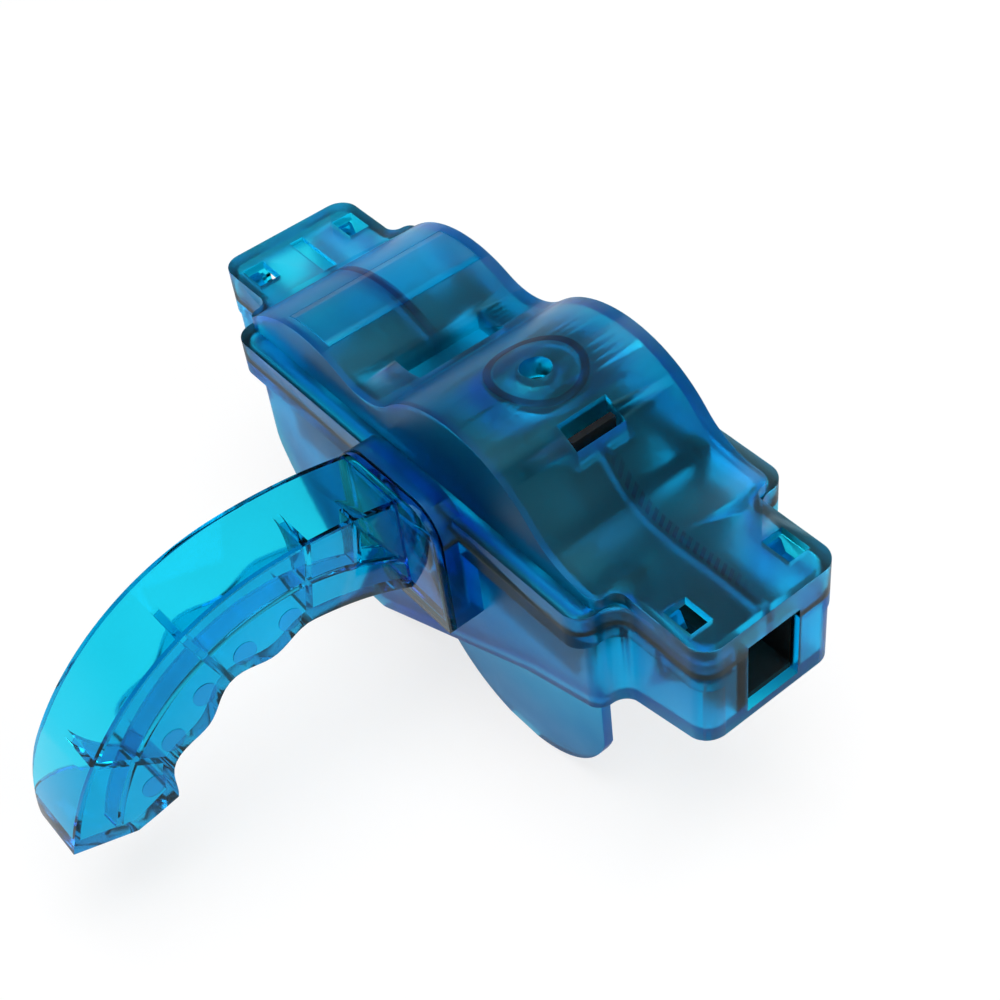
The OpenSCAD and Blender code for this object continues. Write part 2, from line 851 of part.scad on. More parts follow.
// Bar between the upper cheeks at p, along Y.
module cheek_bar(p) {
    block(
        [p[0] - bar_t / 2, -cheek_y, p[1] - bar_t / 2],
        [p[0] + bar_t / 2, cheek_y, p[1] + bar_t / 2]
    );
}

// Near bar, with the tab that snaps into the cover's latch slot.
module upper_latch_bar() {
    tab_w = slot_w / 2 - 2 * gap;
    low = bar_near[1] - bar_t / 2;
    color([0.1, 0.11, 0.12]) at_seam() {
        cheek_bar(bar_near);
        block(
            [slot_x - tab_t / 2, -tab_w, low],
            [slot_x + tab_t / 2, tab_w, hump_z(slot_x, wall) + wall / 2]
        );
        block([slot_x - tab_t / 2, -tab_w, low], [bar_near[0], tab_w, low + bar_t]);
    }
}

// Far bar, with the tab that snaps into the slit in the pocket's floor.
module upper_pocket_bar() {
    arm_z = pocket_h - wall - gap - tab_t;
    x0 = slit_x - tab_t / 2;
    color([0.1, 0.11, 0.12]) at_seam() {
        cheek_bar(bar_far);
        block([x0, 2 * gap, arm_z], [bar_far[0], slit_w, arm_z + tab_t]);
        block([x0, 2 * gap, arm_z], [x0 + tab_t, slit_w, pocket_h + tab_t]);
    }
}

// Black channel behind a chain window, from x0 inside to x1 at the window.
module throat(x0, x1) {
    low = wall - neck_d;
    side = min(x0, x1);
    color([0.12, 0.13, 0.14]) at_seam() difference() {
        union() {
            block(
                [min(x0, x1), -win_w / 2 - throat_t, low],
                [max(x0, x1), win_w / 2 + throat_t, -throat_top]
            );
            block(
                [x0 - (x1 > x0 ? throat_t : 0), -cheek_y - cheek_t, low],
                [x0 + (x1 > x0 ? 0 : throat_t), cheek_y + cheek_t, -throat_top]
            );
        }
        block(
            [side - 2 * throat_t, -win_w / 2, low + throat_floor],
            [max(x0, x1) + 2 * throat_t, win_w / 2, 0]
        );
    }
}

module near_throat() {
    throat(throat_near, half_len - wall);
}

module far_throat() {
    throat(-throat_far, wall - half_len);
}

module deck() {
    color([0.12, 0.13, 0.14]) at_seam() block(
        [upper_x - hub_r * 2, -cheek_y, -deck_d - deck_t],
        [upper_x + hub_r * 1.7, cheek_y, -deck_d]
    );
}

// Hub with a stub axle at each end, along Y at [x, z].
module hub(x, z, r) {
    end = cheek_y + cheek_t;
    face = cheek_y - gap;
    color([0.16, 0.17, 0.18]) at_seam() translate([x, 0, z]) rotate([90, 0, 0]) {
        translate([0, 0, -face]) cylinder(r = r, h = 2 * face);
        translate([0, 0, -end]) cylinder(r = stub_r, h = 2 * end);
    }
}

// Ring of tufts on a sleeve from y0 to y1 round an axle at [x, z].
module tuft_ring(x, z, y0, y1, r0, r1, count, rows) {
    step = (y1 - y0) / rows;
    root = r0 + sleeve_t / 2;
    color([0.13, 0.15, 0.15]) at_seam() translate([x, 0, z]) {
        rotate([90, 0, 0]) translate([0, 0, -y1]) difference() {
            cylinder(r = r0 + sleeve_t, h = y1 - y0);
            translate([0, 0, -cut]) cylinder(r = r0, h = y1 - y0 + 2 * cut);
        }
        for (i = [0:rows - 1], j = [0:count - 1]) {
            rotate([0, (j + (i % 2) / 2) * 360 / count, 0]) {
                translate([0, y0 + (i + 0.5) * step, root]) {
                    cylinder(r = tuft_r, h = r1 - root, $fn = tuft_sides);
                }
            }
        }
    }
}

module upper_hub() {
    hub(upper_x, upper_z, hub_r);
}

module small_hub() {
    hub(small_x, small_z, roll_r);
}

module lower_hub() {
    hub(lower_x, -lower_d, hub_r);
}

module exit_hub() {
    hub(exit_x, -exit_d, roll_r);
}

module upper_left_bristles() {
    tuft_ring(
        upper_x, upper_z, -upper_y, -lane_w / 2,
        hub_r, upper_r, upper_side_tufts, upper_side_rows
    );
}

module upper_right_bristles() {
    tuft_ring(
        upper_x, upper_z, lane_w / 2, upper_y,
        hub_r, upper_r, upper_side_tufts, upper_side_rows
    );
}

module upper_centre_bristles() {
    tuft_ring(
        upper_x, upper_z, gap - lane_w / 2, lane_w / 2 - gap,
        hub_r, upper_centre_r, upper_centre_tufts, upper_centre_rows
    );
}

module small_bristles() {
    tuft_ring(
        small_x, small_z, -small_y, small_y,
        roll_r, small_r, small_tufts, small_rows
    );
}

module lower_left_bristles() {
    tuft_ring(
        lower_x, -lower_d, -bristle_y, -lane_w / 2,
        hub_r, lower_r, lower_side_tufts, lower_side_rows
    );
}

module lower_right_bristles() {
    tuft_ring(
        lower_x, -lower_d, lane_w / 2, bristle_y,
        hub_r, lower_r, lower_side_tufts, lower_side_rows
    );
}

module lower_centre_bristles() {
    tuft_ring(
        lower_x, -lower_d, gap - lane_w / 2, lane_w / 2 - gap,
        hub_r, lower_centre_r, lower_centre_tufts, lower_centre_rows
    );
}

module exit_bristles() {
    tuft_ring(
        exit_x, -exit_d, -bristle_y, bristle_y,
        roll_r, exit_r, exit_tufts, exit_rows
    );
}

// Block of a side brush, on the cheek at side 1 or -1.
module side_block(side) {
    x1 = throat_near - throat_t;
    color([0.1, 0.11, 0.12]) at_seam() scale([1, side, 1]) block(
        [x1 - side_l, cheek_y - side_t, -throat_top - side_h],
        [x1, cheek_y, -throat_top]
    );
}

// Fixed bristles that stand out of a side block towards the chain.
module side_bristles(side) {
    x1 = throat_near - throat_t;
    face = cheek_y - side_t;
    tip = lane_w / 2;
    color([0.13, 0.15, 0.15]) at_seam() scale([1, side, 1]) {
        block(
            [x1 - side_l, face - sleeve_t, -throat_top - side_h],
            [x1, face, -throat_top]
        );
        for (i = [0:side_cols - 1], j = [0:side_rows - 1]) {
            translate([
                x1 - side_l + (i + 0.5) * side_l / side_cols,
                face - sleeve_t / 2,
                -throat_top - side_h + (j + 0.5) * side_h / side_rows,
            ]) rotate([90, 0, 0]) {
                cylinder(r = tuft_r, h = face - sleeve_t / 2 - tip, $fn = tuft_sides);
            }
        }
    }
}

module left_side_block() {
    side_block(-1);
}

module left_side_bristles() {
    side_bristles(-1);
}

module right_side_block() {
    side_block(1);
}

module right_side_bristles() {
    side_bristles(1);
}

cover();
tank();
handle();
upper_left_cheek();
upper_right_cheek();
upper_latch_bar();
upper_pocket_bar();
lower_left_cheek();
lower_right_cheek();
near_throat();
far_throat();
deck();
upper_hub();
upper_left_bristles();
upper_right_bristles();
upper_centre_bristles();
small_hub();
small_bristles();
lower_hub();
lower_left_bristles();
lower_right_bristles();
lower_centre_bristles();
exit_hub();
exit_bristles();
left_side_block();
left_side_bristles();
right_side_block();
right_side_bristles();
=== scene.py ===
"""Bicycle chain cleaner: a clear blue cover, tank and handle round black brushes."""

import math
import bmesh
import bpy
from bpy.props import (
    FloatProperty,
    FloatVectorProperty,
    IntProperty,
    PointerProperty,
)
from mathutils import Matrix, Vector
from mathutils.bvhtree import BVHTree


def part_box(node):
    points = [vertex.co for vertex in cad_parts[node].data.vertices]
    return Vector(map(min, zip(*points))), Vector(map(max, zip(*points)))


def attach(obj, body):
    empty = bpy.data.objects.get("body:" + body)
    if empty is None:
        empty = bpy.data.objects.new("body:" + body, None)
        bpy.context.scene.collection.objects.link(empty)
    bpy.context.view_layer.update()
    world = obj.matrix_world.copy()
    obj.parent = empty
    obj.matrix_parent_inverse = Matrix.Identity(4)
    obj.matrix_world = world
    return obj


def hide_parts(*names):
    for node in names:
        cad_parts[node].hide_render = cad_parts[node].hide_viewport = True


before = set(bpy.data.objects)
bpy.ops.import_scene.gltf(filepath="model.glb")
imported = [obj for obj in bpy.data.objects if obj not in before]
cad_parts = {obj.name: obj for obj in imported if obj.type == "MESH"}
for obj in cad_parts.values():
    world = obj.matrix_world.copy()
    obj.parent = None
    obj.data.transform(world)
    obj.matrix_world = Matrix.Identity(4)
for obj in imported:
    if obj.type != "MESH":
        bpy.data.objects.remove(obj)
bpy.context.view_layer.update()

bl_info = {
    "name": "Bicycle chain cleaner",
    "version": (1, 0, 0),
    "blender": (4, 5, 0),
    "location": "View3D > Sidebar > Chain Cleaner",
    "description": "Dresses the packed chain cleaner with clear plastic shells and nylon brushes",
    "category": "Object",
}

MM = 0.001

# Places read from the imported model, in metres
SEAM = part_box("cover")[0].z
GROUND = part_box("tank")[0].z

# Edges further out than this are a shell's outline, humps and necks
COVER_SIDE = 15 * MM
TANK_SIDE = 14 * MM
# Height beside the seam where the edges stay crisp
SEAM_EDGE = 0.5 * MM

# Ribs under the roof: middle along the chain, half length, half width
FAR_RIB = (-35 * MM, 16 * MM, 0.9 * MM)
NEAR_RIB = (46 * MM, 15 * MM, 1.1 * MM)
RING_HALF_WIDTH = 0.8 * MM
RIB_SHADE = (0.5, 0.1, 0.25)
NOTCHED_SHADE = (0.5, 0.35, 0.5)

# Ejector marks on an arc about the middle of the handle's bend
BEND_MIDDLE = (7 * MM, -54 * MM, SEAM - 40 * MM)
MARK_ARC = 35 * MM
FIRST_MARK = math.radians(87.5)
MARK_STEP = math.radians(15.5)
MARK_HEIGHT = 0.2 * MM
MARKS = 5

# Rows of tufts on a side brush, and tufts in a row
SIDE_TUFTS = 6

# Soft lamps: name, place, width, share of the lamp power
LAMPS = (
    ("key", (0.05, -0.1, 0.95), 0.8, 1.0),
    ("fill", (0.7, 0.1, 0.5), 0.5, 0.25),
    ("back", (-0.35, 0.7, 0.4), 0.35, 0.25),
)

# Camera, as fitted to the photograph
LENS = 64.94
CAMERA_PLACE = (0.1947, -0.1324, 0.2288)
AROUND = math.radians(56.32)
ABOVE = math.radians(45.73)
ROLL = math.radians(-7.71)

# Each clear shell: its node, and the body that it rides on
SHELLS = {"cover": "cover_body", "tank": "tank_body", "handle": "handle_body"}

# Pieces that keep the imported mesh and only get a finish
MOULDED = (
    "upper_left_cheek",
    "upper_right_cheek",
    "upper_latch_bar",
    "upper_pocket_bar",
    "lower_left_cheek",
    "lower_right_cheek",
    "near_throat",
    "deck",
    "left_side_block",
    "right_side_block",
)
# Those of them that show through an opening, where they look near black: they get a duller copy of
# the moulding whose colour is darkened as painted shade
IN_OPENINGS = ("near_throat", "upper_latch_bar", "upper_pocket_bar")
HUBS = ("upper_hub", "small_hub", "lower_hub", "exit_hub")

# Brush rings: node, hub, body, rows, tufts in a row
RINGS = (
    ("upper_left_bristles", "upper_hub", "upper_brush", 3, 28),
    ("upper_right_bristles", "upper_hub", "upper_brush", 3, 28),
    ("upper_centre_bristles", "upper_hub", "upper_brush", 5, 14),
    ("small_bristles", "small_hub", "small_brush", 6, 16),
    ("lower_left_bristles", "lower_hub", "lower_brush", 4, 30),
    ("lower_right_bristles", "lower_hub", "lower_brush", 4, 30),
    ("lower_centre_bristles", "lower_hub", "lower_brush", 5, 24),
    ("exit_bristles", "exit_hub", "exit_brush", 9, 14),
)


# ---------------------------------------------------------------- sizes and colours


class ChainCleanerShells(bpy.types.PropertyGroup):
    """Sizes and colours of the clear shells"""

    main_round: FloatProperty(
        name="Main edge radius",
        description="Rounding on the humps, necks and outline of cover and tank",
        default=0.65 * MM,
        min=0.1 * MM,
        max=1.2 * MM,
        unit="LENGTH",
    )
    handle_round: FloatProperty(
        name="Handle edge radius",
        description="Rounding along the handle's edges",
        default=0.35 * MM,
        min=0.05 * MM,
        max=0.6 * MM,
        unit="LENGTH",
    )
    ring_x: FloatProperty(
        name="Ring place",
        description="Place along the chain of the round rib under the cover's roof",
        default=12 * MM,
        min=8 * MM,
        max=16 * MM,
        unit="LENGTH",
    )
    ring_radius: FloatProperty(
        name="Ring radius",
        description="Radius of the round rib under the cover's roof",
        default=8.3 * MM,
        min=6 * MM,
        max=10 * MM,
        unit="LENGTH",
    )
    mark_radius: FloatProperty(
        name="Ejector mark radius",
        description="Radius of the round marks that the mould's pins leave on the handle",
        default=2.3 * MM,
        min=1 * MM,
        max=3 * MM,
        unit="LENGTH",
    )
    body_colour: FloatVectorProperty(
        name="Body colour",
        description="Tint of the cover and the tank",
        subtype="COLOR",
        size=3,
        default=(0.04, 0.84, 1.0),
        min=0,
        max=1,
    )
    body_depth_colour: FloatVectorProperty(
        name="Body depth colour",
        description="Colour that thick plastic of the cover and the tank turns to",
        subtype="COLOR",
        size=3,
        default=(0.007, 0.83, 0.985),
        min=0,
        max=1,
    )
    handle_colour: FloatVectorProperty(
        name="Handle colour",
        description="Tint of the handle",
        subtype="COLOR",
        size=3,
        default=(0.03, 0.73, 0.92),
        min=0,
        max=1,
    )
    handle_depth_colour: FloatVectorProperty(
        name="Handle depth colour",
        description="Colour that thick plastic of the handle turns to",
        subtype="COLOR",
        size=3,
        default=(0.007, 0.86, 0.94),
        min=0,
        max=1,
    )
    depth: FloatProperty(
        name="Depth of colour",
        description="How fast thick plastic darkens, per metre",
        default=450.0,
        min=0,
        max=3000,
    )
    body_haze: FloatProperty(
        name="Body haze",
        description="Roughness of the frosted inner faces of cover and tank",
        default=0.38,
        min=0,
        max=1,
        subtype="FACTOR",
    )
    handle_haze: FloatProperty(
        name="Handle haze",
        description="Roughness of the handle's plastic",
        default=0.07,
        min=0,
        max=1,
        subtype="FACTOR",
    )


class ChainCleanerBrushes(bpy.types.PropertyGroup):
    """Sizes and colours of the brushes and their frames"""

    strands: IntProperty(
        name="Strands in a tuft",
        description="Nylon strands that stand together in one tuft",
        default=14,
        min=3,
        max=20,
    )
    strand_radius: FloatProperty(
        name="Strand radius",
        description="Half the thickness of one nylon strand",
        default=0.11 * MM,
        min=0.04 * MM,
        max=0.3 * MM,
        unit="LENGTH",
    )
    tuft_radius: FloatProperty(
        name="Tuft radius",
        description="Half the width of a tuft where it leaves the sleeve",
        default=0.75 * MM,
        min=0.2 * MM,
        max=1.2 * MM,
        unit="LENGTH",
    )
    lean: FloatProperty(
        name="Lean",
        description="How far a strand may lean away from its tuft",
        default=0.07,
        min=0,
        max=0.4,
    )
    sleeve_wall: FloatProperty(
        name="Sleeve wall",
        description="Thickness of the sleeve that holds the tufts on a hub",
        default=0.9 * MM,
        min=0.4 * MM,
        max=1.2 * MM,
        unit="LENGTH",
    )
    nylon_colour: FloatVectorProperty(
        name="Nylon colour",
        description="Colour of the bristles",
        subtype="COLOR",
        size=3,
        default=(0.055, 0.07, 0.062),
        min=0,
        max=1,
    )
    moulding_colour: FloatVectorProperty(
        name="Moulding colour",
        description="Colour of the brush frames and throats",
        subtype="COLOR",
        size=3,
        default=(0.016, 0.018, 0.02),
        min=0,
        max=1,
    )


class ChainCleanerStage(bpy.types.PropertyGroup):
    """Floor, lamps and camera"""

    floor_size: FloatProperty(
        name="Floor size",
        description="Width of the square floor",
        default=6.0,
        min=1,
        max=20,
        unit="LENGTH",
    )
    floor_white: FloatProperty(
        name="Floor whiteness",
        description="Share of pure white that the floor shows to the camera",
        default=0.78,
        min=0,
        max=1,
        subtype="FACTOR",
    )
    lamp_power: FloatProperty(
        name="Lamp power",
        description="Power of the main soft lamp in watts",
        default=10.0,
        min=0,
        max=50,
    )
    horizon_light: FloatProperty(
        name="Light at the horizon",
        description="Strength of the white sweep round the object",
        default=0.8,
        min=0,
        max=3,
    )
    ceiling_light: FloatProperty(
        name="Light from above",
        description="Strength of the dim ceiling that the top faces mirror",
        default=0.08,
        min=0,
        max=3,
    )


# ---------------------------------------------------------------- node helpers


def add(tree, kind, at, **values):
    """Adds a node, places it and sets its plain properties."""
    n = tree.nodes.new(kind)
    n.location = at
    for k, v in values.items():
        setattr(n, k, v)
    return n


def new_material(name):
    """An empty node material with its output, and the Principled shader on it."""
    m = bpy.data.materials.new(name)
    m.use_nodes = True
    t = m.node_tree
    t.nodes.clear()
    out = add(t, "ShaderNodeOutputMaterial", (900, 0))
    shader = add(t, "ShaderNodeBsdfPrincipled", (550, 0))
    t.links.new(shader.outputs["BSDF"], out.inputs["Surface"])
    return m, t, shader, out


def noise(t, coordinates, at, scale, detail=3.0, roughness=0.5):
    """A noise texture in object space, scale in waves per metre."""
    n = add(t, "ShaderNodeTexNoise", at)
    n.inputs["Scale"].default_value = scale
    n.inputs["Detail"].default_value = detail
    n.inputs["Roughness"].default_value = roughness
    t.links.new(coordinates, n.inputs["Vector"])
    return n


def spread(t, source, at, low, high, from_low=0.3, from_high=0.7):
    """Maps a noise value to a range."""
    n = add(t, "ShaderNodeMapRange", at)
    n.inputs["From Min"].default_value = from_low
    n.inputs["From Max"].default_value = from_high
    n.inputs["To Min"].default_value = low
    n.inputs["To Max"].default_value = high
    t.links.new(source, n.inputs["Value"])
    return n


def calc(t, op, a, b=None, kind="ShaderNodeMath"):
    """A math node on sockets or plain numbers."""
    n = add(t, kind, (0, 0), operation=op)
    for i, v in enumerate((a, b)):
        if v is None:
            continue
        if isinstance(v, (int, float, tuple)):
            n.inputs[i].default_value = v
        else:
            t.links.new(v, n.inputs[i])
    return n.outputs[0]


def vector_calc(t, op, a, b=None):
    """A vector math node on sockets or plain vectors."""
    return calc(t, op, a, b, "ShaderNodeVectorMath")


def two_tone(t, source, low, high, dark, light):
    """A colour that goes from dark to light between two noise values."""
    ramp = add(t, "ShaderNodeValToRGB", (-200, 250))
    ends = ramp.color_ramp.elements
    for end, place, colour in zip(ends, (low, high), (dark, light)):
        end.position = place
        end.color = list(colour) + [1]
    t.links.new(source, ramp.inputs["Fac"])
    return ramp.outputs["Color"]


def uneven(t, shader, space, scale, strength, depth):
    """A faint unevenness of the moulded faces."""
    wave = noise(t, space, (-650, -300), scale, 2)
    bump = add(t, "ShaderNodeBump", (200, -300))
    bump.inputs["Strength"].default_value = strength
    bump.inputs["Distance"].default_value = depth
    t.links.new(wave.outputs["Fac"], bump.inputs["Height"])
    t.links.new(bump.outputs["Normal"], shader.inputs["Normal"])


def strip_mask(t, value, middle, half):
    """1 within half of the middle, and 0 away from it, with a soft edge."""
    off = calc(t, "ABSOLUTE", calc(t, "SUBTRACT", value, middle))
    return spread(t, off, (50, 600), 1, 0, half * 0.75, half * 1.15).outputs["Result"]


def darkened(t, colour, mask, shade):
    """The colour multiplied by shade where the mask is 1."""
    n = add(t, "ShaderNodeMix", (250, 450), data_type="RGBA", blend_type="MULTIPLY")
    t.links.new(mask, n.inputs["Factor"])
    t.links.new(colour, n.inputs["A"])
    n.inputs["B"].default_value = (*shade, 1)
    return n.outputs["Result"]


def roof_lines(t, space, colour, ring_x, ring_radius):
    """Darkens the colour over the thin ribs that hang under the roof, as they look from above."""
    part = add(t, "ShaderNodeSeparateXYZ", (-650, 500))
    t.links.new(space, part.inputs[0])
    x, y = part.outputs["X"], part.outputs["Y"]
    along = calc(t, "POWER", calc(t, "SUBTRACT", x, ring_x), 2.0)
    away = calc(t, "SQRT", calc(t, "ADD", along, calc(t, "POWER", y, 2.0)))
    ring = strip_mask(t, away, ring_radius, RING_HALF_WIDTH)
    colour = darkened(t, colour, ring, RIB_SHADE)
    # The long rib under the small hump
    middle, half, side = FAR_RIB
    far = calc(t, "MULTIPLY", strip_mask(t, y, 0.0, side), strip_mask(t, x, middle, half))
    colour = darkened(t, colour, far, RIB_SHADE)
    # The rib with slanted notches, towards the near window
    middle, half, side = NEAR_RIB
    near = strip_mask(t, x, middle, half)
    slant = calc(t, "ADD", x, calc(t, "MULTIPLY", y, 0.6))
    notches = calc(t, "PINGPONG", slant, 0.8 * MM)
    notches = spread(t, notches, (50, 800), 0.25, 1, 0.3 * MM, 0.5 * MM).outputs["Result"]
    near = calc(t, "MULTIPLY", calc(t, "MULTIPLY", strip_mask(t, y, 0.0, side), near), notches)
    return darkened(t, colour, near, NOTCHED_SHADE)


def foot_shade(t, space, colour, low, high, inside, shade):
    """Painted shade: deepens the colour from high down to low on walls that lie outside the inside
    width.
    """
    part = add(t, "ShaderNodeSeparateXYZ", (-650, 500))
    t.links.new(space, part.inputs[0])
    foot = spread(t, part.outputs["Z"], (-200, 500), 1, 0, low, high)
    side = calc(t, "ABSOLUTE", part.outputs["Y"])
    side = spread(t, side, (-200, 700), 0, 1, inside, inside + 2 * MM)
    mask = calc(t, "MULTIPLY", foot.outputs["Result"], side.outputs["Result"])
    return darkened(t, colour, mask, shade)


def clear_plastic(name, tint, depth_colour, depth, haze, ring=None, foot=None, bend=1.38):
    """Tinted see-through plastic, deeper in colour where it is thick."""
    m, t, shader, out = new_material(name)
    space = add(t, "ShaderNodeTexCoord", (-900, 0)).outputs["Object"]
    # Slow drift of the tint, as pigment flows in the mould
    drift = noise(t, space, (-650, 250), 35, 2).outputs["Fac"]
    dark, light = [c * 0.93 for c in tint], [min(1, c * 1.05) for c in tint]
    colour = two_tone(t, drift, 0.3, 0.7, dark, light)
    if ring:
        colour = roof_lines(t, space, colour, *ring)
    # Painted shade, darker towards the bottom of the outer walls
    if foot:
        colour = foot_shade(t, space, colour, *foot)
    t.links.new(colour, shader.inputs["Base Color"])
    # Haze that varies a little, with light handling marks
    cloud = noise(t, space, (-650, 0), 160, 4, 0.6)
    rough = spread(t, cloud.outputs["Fac"], (-200, 0), haze * 0.92, haze * 1.1)
    t.links.new(rough.outputs["Result"], shader.inputs["Roughness"])
    uneven(t, shader, space, 90, 0.05, 0.5 * MM)
    shader.inputs["Transmission Weight"].default_value = 1
    shader.inputs["IOR"].default_value = bend
    shader.inputs["Specular Tint"].default_value = (0.18, 0.75, 1.0, 1)
    deep = add(t, "ShaderNodeVolumeAbsorption", (550, -500))
    deep.inputs["Color"].default_value = list(depth_colour) + [1]
    deep.inputs["Density"].default_value = depth
    t.links.new(deep.outputs["Volume"], out.inputs["Volume"])
    return m


def moulded_plastic(name, colour, roughness, shine=0.3):
    """Opaque moulded plastic with a fine grain and slight wear."""
    m, t, shader, _ = new_material(name)
    space = add(t, "ShaderNodeTexCoord", (-900, 0)).outputs["Object"]
    patch = noise(t, space, (-650, 250), 220, 5, 0.6).outputs["Fac"]
    dark, light = [c * 0.8 for c in colour], [c * 1.7 for c in colour]
    t.links.new(two_tone(t, patch, 0.35, 0.75, dark, light), shader.inputs["Base Color"])
    rough = spread(t, patch, (-200, 0), roughness - 0.1, roughness + 0.12)
    t.links.new(rough.outputs["Result"], shader.inputs["Roughness"])
    uneven(t, shader, space, 2600, 0.25, 0.1 * MM)
    shader.inputs["Specular IOR Level"].default_value = shine
    return m


def nylon(name, colour):
    """Nylon bristle: dark, a little waxy, paler where strands catch dirt and light."""
    m, t, shader, _ = new_material(name)
    space = add(t, "ShaderNodeTexCoord", (-900, 0)).outputs["Object"]
    patch = noise(t, space, (-650, 250), 900, 3, 0.6).outputs["Fac"]
    dark, light = [c * 0.6 for c in colour], [c * 2.4 + 0.005 for c in colour]
    t.links.new(two_tone(t, patch, 0.3, 0.7, dark, light), shader.inputs["Base Color"])
    rough = spread(t, patch, (-200, 0), 0.34, 0.55)
    t.links.new(rough.outputs["Result"], shader.inputs["Roughness"])
    shader.inputs["Sheen Weight"].default_value = 0.15
    return m


# ---------------------------------------------------------------- mesh helpers


def merged_copy(node):
    """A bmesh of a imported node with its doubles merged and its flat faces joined."""
    bm = bmesh.new()
    bm.from_mesh(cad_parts[node].data)
    bmesh.ops.remove_doubles(bm, verts=bm.verts, dist=1e-6)
    bmesh.ops.dissolve_limit(
        bm,
        angle_limit=math.radians(0.6),
        verts=bm.verts,
        edges=bm.edges,
        delimit={"NORMAL"},
    )
    return bm


def sharp_edges(bm, limit=32):
    """Edges that stand out by more than limit degrees."""
    return [
        e
        for e in bm.edges
        if len(e.link_faces) == 2
        and e.is_convex
        and e.calc_face_angle(0) > math.radians(limit)
    ]


def in_the_open(bm, edges):
    """The edges that nothing else of the piece stands in front of."""
    tree = BVHTree.FromBMesh(bm)
    free = []
    for e in edges:
        n = (e.link_faces[0].normal + e.link_faces[1].normal).normalized()
        mid = (e.verts[0].co + e.verts[1].co) / 2
        if tree.ray_cast(mid + n * 2e-5, n)[0] is None:
            free.append(e)
    return free


def round_edges(bm, edges, radius, steps=2):
    """Rounds the edges, without letting them overrun each other."""
    if edges:
        bmesh.ops.bevel(
            bm,
            geom=edges,
            offset=radius,
            offset_type="OFFSET",
            segments=steps,
            profile=0.5,
            affect="EDGES",
            clamp_overlap=True,
            miter_outer="SHARP",
        )


def finish_mesh(bm, name, angle=28):
    """Turns the bmesh into a smooth-shaded object at the origin."""
    me = bpy.data.meshes.new(name)
    bm.to_mesh(me)
    bm.free()
    me.polygons.foreach_set("use_smooth", [True] * len(me.polygons))
    me.set_sharp_from_angle(angle=math.radians(angle))
    o = bpy.data.objects.new(name, me)
    bpy.context.scene.collection.objects.link(o)
    return o


def give(o, material):
    """Puts one material on an object."""
    o.data.materials.clear()
    o.data.materials.append(material)


# ---------------------------------------------------------------- clear shells and frames


class CHAINCLEANER_OT_shells(bpy.types.Operator):
    """Makes the clear cover, tank and handle"""

    bl_idname = "chaincleaner.shells"
    bl_label = "Clear shells"

    def execute(self, context):
        p = context.scene.chain_cleaner_shells
        look = (p.body_colour, p.body_depth_colour, p.depth, p.body_haze)
        body = clear_plastic("clear_blue_body", *look)
        grip = clear_plastic(
            "clear_blue_handle", p.handle_colour, p.handle_depth_colour, p.depth, p.handle_haze
        )
        roof = clear_plastic("clear_blue_cover", *look, ring=(p.ring_x, p.ring_radius))
        # Painted shade on the tank's outer walls and cheeks, darker towards the bottom
        foot = (GROUND + 6 * MM, SEAM - 2 * MM, TANK_SIDE + MM, (0.1, 0.2, 0.36))
        shaded_tank = clear_plastic("clear_blue_tank", *look, foot=foot, bend=1.22)
        finish = {"cover": roof, "tank": shaded_tank, "handle": grip}
        for node, rides_on in SHELLS.items():
            bm = merged_copy(node)
            edges = sharp_edges(bm)
            if node == "handle":
                round_edges(bm, edges, p.handle_round)
            else:
                main = [e for e in in_the_open(bm, edges) if self.is_main(node, e)]
                round_edges(bm, main, p.main_round, 3)
            o = finish_mesh(bm, node + "_shell")
            give(o, finish[node])
            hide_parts(node)
            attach(o, rides_on)
        give(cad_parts["far_throat"], body)
        return {"FINISHED"}

    @staticmethod
    def is_main(node, e):
        """True for the outline, the humps and the necks, not for small details."""
        mid = (e.verts[0].co + e.verts[1].co) / 2
        if node == "cover":
            return mid.z >= SEAM + SEAM_EDGE and abs(mid.y) > COVER_SIDE
        return mid.z <= SEAM - SEAM_EDGE and abs(mid.y) > TANK_SIDE


class CHAINCLEANER_OT_mouldings(bpy.types.Operator):
    """Gives the frames, throats and hubs their finish"""

    bl_idname = "chaincleaner.mouldings"
    bl_label = "Frames and hubs"

    def execute(self, context):
        p = context.scene.chain_cleaner_brushes
        black = moulded_plastic("black_moulding", p.moulding_colour, 0.42)
        # A duller copy of the black moulding, its colour darkened to 0.4 as painted shade for the
        # pieces seen through openings
        dull_shaded = moulded_plastic("dull_shaded_moulding", [c * 0.4 for c in p.moulding_colour], 0.5, 0.1)
        hub = moulded_plastic("hub_moulding", [c * 1.5 for c in p.moulding_colour], 0.36)
        for node in MOULDED:
            give(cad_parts[node], dull_shaded if node in IN_OPENINGS else black)
        for node in HUBS:
            give(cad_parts[node], hub)
        return {"FINISHED"}


# ---------------------------------------------------------------- geometry trees


def vector(t, x=0.0, y=0.0, z=0.0):
    """A vector put together from sockets or plain numbers."""
    n = add(t, "ShaderNodeCombineXYZ", (-600, 0))
    for i, v in enumerate((x, y, z)):
        if isinstance(v, (int, float)):
            n.inputs[i].default_value = v
        else:
            t.links.new(v, n.inputs[i])
    return n.outputs[0]


def chance(t, seed, low, high, salt):
    """A random number for each point, fixed by the seed."""
    n = add(t, "FunctionNodeRandomValue", (-1300, -400), data_type="FLOAT")
    n.inputs[2].default_value = low
    n.inputs[3].default_value = high
    t.links.new(calc(t, "ADD", seed, salt), n.inputs["Seed"])
    return n.outputs[1]


